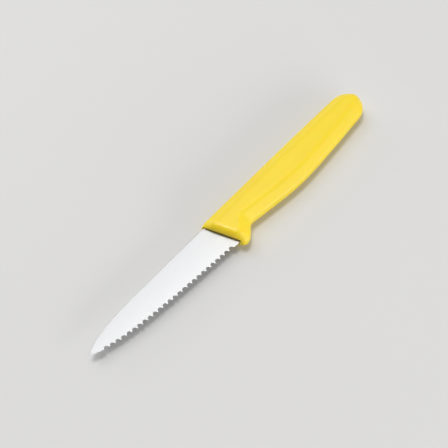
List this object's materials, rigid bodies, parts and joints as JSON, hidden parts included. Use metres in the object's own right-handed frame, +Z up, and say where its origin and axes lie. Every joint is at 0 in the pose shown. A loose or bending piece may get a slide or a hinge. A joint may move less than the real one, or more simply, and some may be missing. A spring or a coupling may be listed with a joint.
{
  "type": "serrated vegetable knife",
  "caption": "Small kitchen knife: pointed steel blade with a scalloped cutting edge and hidden tang, in a yellow moulded handle with a finger guard and round butt.",
  "frame": {"origin": "middle of the box around the knife, on the plane that its right-hand side rests on", "axes": "+X from the butt to the tip, +Y from the spine to the cutting edge, +Z up through the thickness, out of the knife's left-hand side"},
  "size_m": [0.1888, 0.022, 0.012],
  "materials": {
    "blade": "satin",
    "handle": "satin"
  },
  "bodies": {
    "root": {"blade": "blade", "handle": "handle"}
  },
  "joints": []
}
